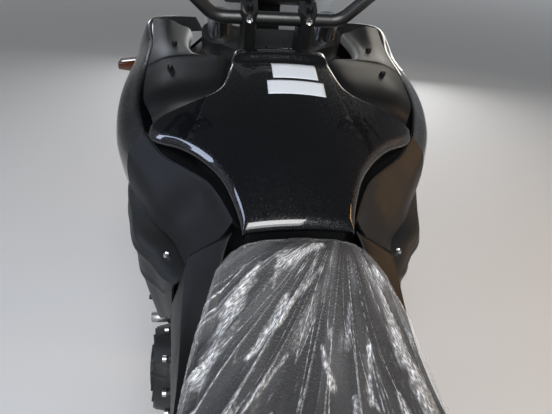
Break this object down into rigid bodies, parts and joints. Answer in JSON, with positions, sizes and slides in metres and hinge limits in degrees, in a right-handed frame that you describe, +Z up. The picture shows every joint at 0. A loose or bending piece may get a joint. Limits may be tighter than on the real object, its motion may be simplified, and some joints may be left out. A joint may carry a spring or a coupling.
{
  "type": "adventure touring motorcycle",
  "caption": "Crossover adventure touring motorcycle on its centre stand, with a hinged storage lid, steering, free wheels and folding stands.",
  "frame": {"origin": "on the floor, below the middle of the whole motorcycle's box", "axes": "+X forward, +Y to the rider's left, +Z up"},
  "size_m": [2.2091, 0.8788, 1.3331],
  "materials": {
    "amber_lens": "amber lens",
    "cast_alloy": "bare cast alloy",
    "chain_steel": "oiled steel",
    "engine_black": "black painted casting",
    "fork_silver": "clear anodised",
    "frame_paint": "satin black powder coat",
    "gloss_black": "deep gloss pearl black",
    "grey_plastic": "dark grey textured moulding",
    "lamp_lens": "clear lens",
    "mirror_head": "gloss black shell",
    "red_lens": "red lens",
    "rim_black": "gloss black enamel",
    "satin_black": "fine-grained satin moulding",
    "screen_clear": "clear moulded screen",
    "seat_vinyl": "grained vinyl",
    "stainless": "brushed stainless",
    "steel": "turned and brushed",
    "tyre_rubber": "road tyre rubber"
  },
  "bodies": {
    "chassis": {"main_frame": "frame_paint", "seat_subframe": "frame_paint", "pivot_bolt": "steel", "crankcase": "engine_black", "cylinder_block": "engine_black", "alternator_cover": "engine_black", "clutch_cover": "engine_black", "sprocket_cover": "satin_black", "front_sprocket": "steel", "radiator": "satin_black", "exhaust_pipes": "stainless", "silencer": "stainless", "swingarm": "frame_paint", "shock_absorber": "steel", "rear_axle": "steel", "chain": "chain_steel", "chain_guard": "satin_black", "rear_brake_caliper": "cast_alloy", "luggage_box": "satin_black", "inner_cowls": "satin_black", "wings": "gloss_black", "lower_fairings": "grey_plastic", "side_covers": "satin_black", "nose_cowl": "gloss_black", "headlight": "lamp_lens", "windscreen": "screen_clear", "dash": "satin_black", "nose_bracket": "frame_paint", "rider_seat": "seat_vinyl", "pillion_seat": "seat_vinyl", "tail_cowl": "satin_black", "grab_rail": "frame_paint", "tail_light": "red_lens", "plate_bracket": "satin_black", "front_indicators": "amber_lens", "footpegs": "cast_alloy", "foot_controls": "steel", "stand_pins": "steel", "side_stand_bracket": "frame_paint"},
    "steering": {"fork_legs": "fork_silver", "triple_clamps": "cast_alloy", "handlebar": "frame_paint", "bar_controls": "satin_black", "mirrors": "mirror_head", "front_fender": "gloss_black", "front_brake_calipers": "cast_alloy", "front_axle": "steel"},
    "front_wheel": {"front_tyre": "tyre_rubber", "front_rim": "rim_black", "front_discs": "steel"},
    "rear_wheel": {"rear_tyre": "tyre_rubber", "rear_rim": "rim_black", "rear_disc": "steel", "rear_sprocket": "steel"},
    "luggage_lid": {"luggage_lid": "gloss_black"},
    "centre_stand": {"centre_stand": "frame_paint"},
    "side_stand": {"side_stand": "frame_paint"}
  },
  "joints": [
    {"name": "steering", "type": "hinge", "parent": "chassis", "child": "steering", "pos_m": [0.915, 0, 0], "axis": [-0.454, 0, 0.891], "range_deg": [-35, 35]},
    {"name": "front_wheel", "type": "hinge", "parent": "steering", "child": "front_wheel", "pos_m": [0.805, 0, 0.3], "axis": [0, 1, 0], "continuous": true},
    {"name": "rear_wheel", "type": "hinge", "parent": "chassis", "child": "rear_wheel", "pos_m": [-0.72, 0, 0.324], "axis": [0, 1, 0], "continuous": true},
    {"name": "luggage_lid", "type": "hinge", "parent": "chassis", "child": "luggage_lid", "pos_m": [0.31, 0, 1.001], "axis": [0, 1, 0], "range_deg": [0, 45]},
    {"name": "centre_stand", "type": "hinge", "parent": "chassis", "child": "centre_stand", "pos_m": [-0.19, 0, 0.288], "axis": [0, 1, 0], "range_deg": [0, 85]},
    {"name": "side_stand", "type": "hinge", "parent": "chassis", "child": "side_stand", "pos_m": [-0.06, 0.168, 0.25], "axis": [0, -0.8387, -0.5446], "range_deg": [0, 100]}
  ]
}
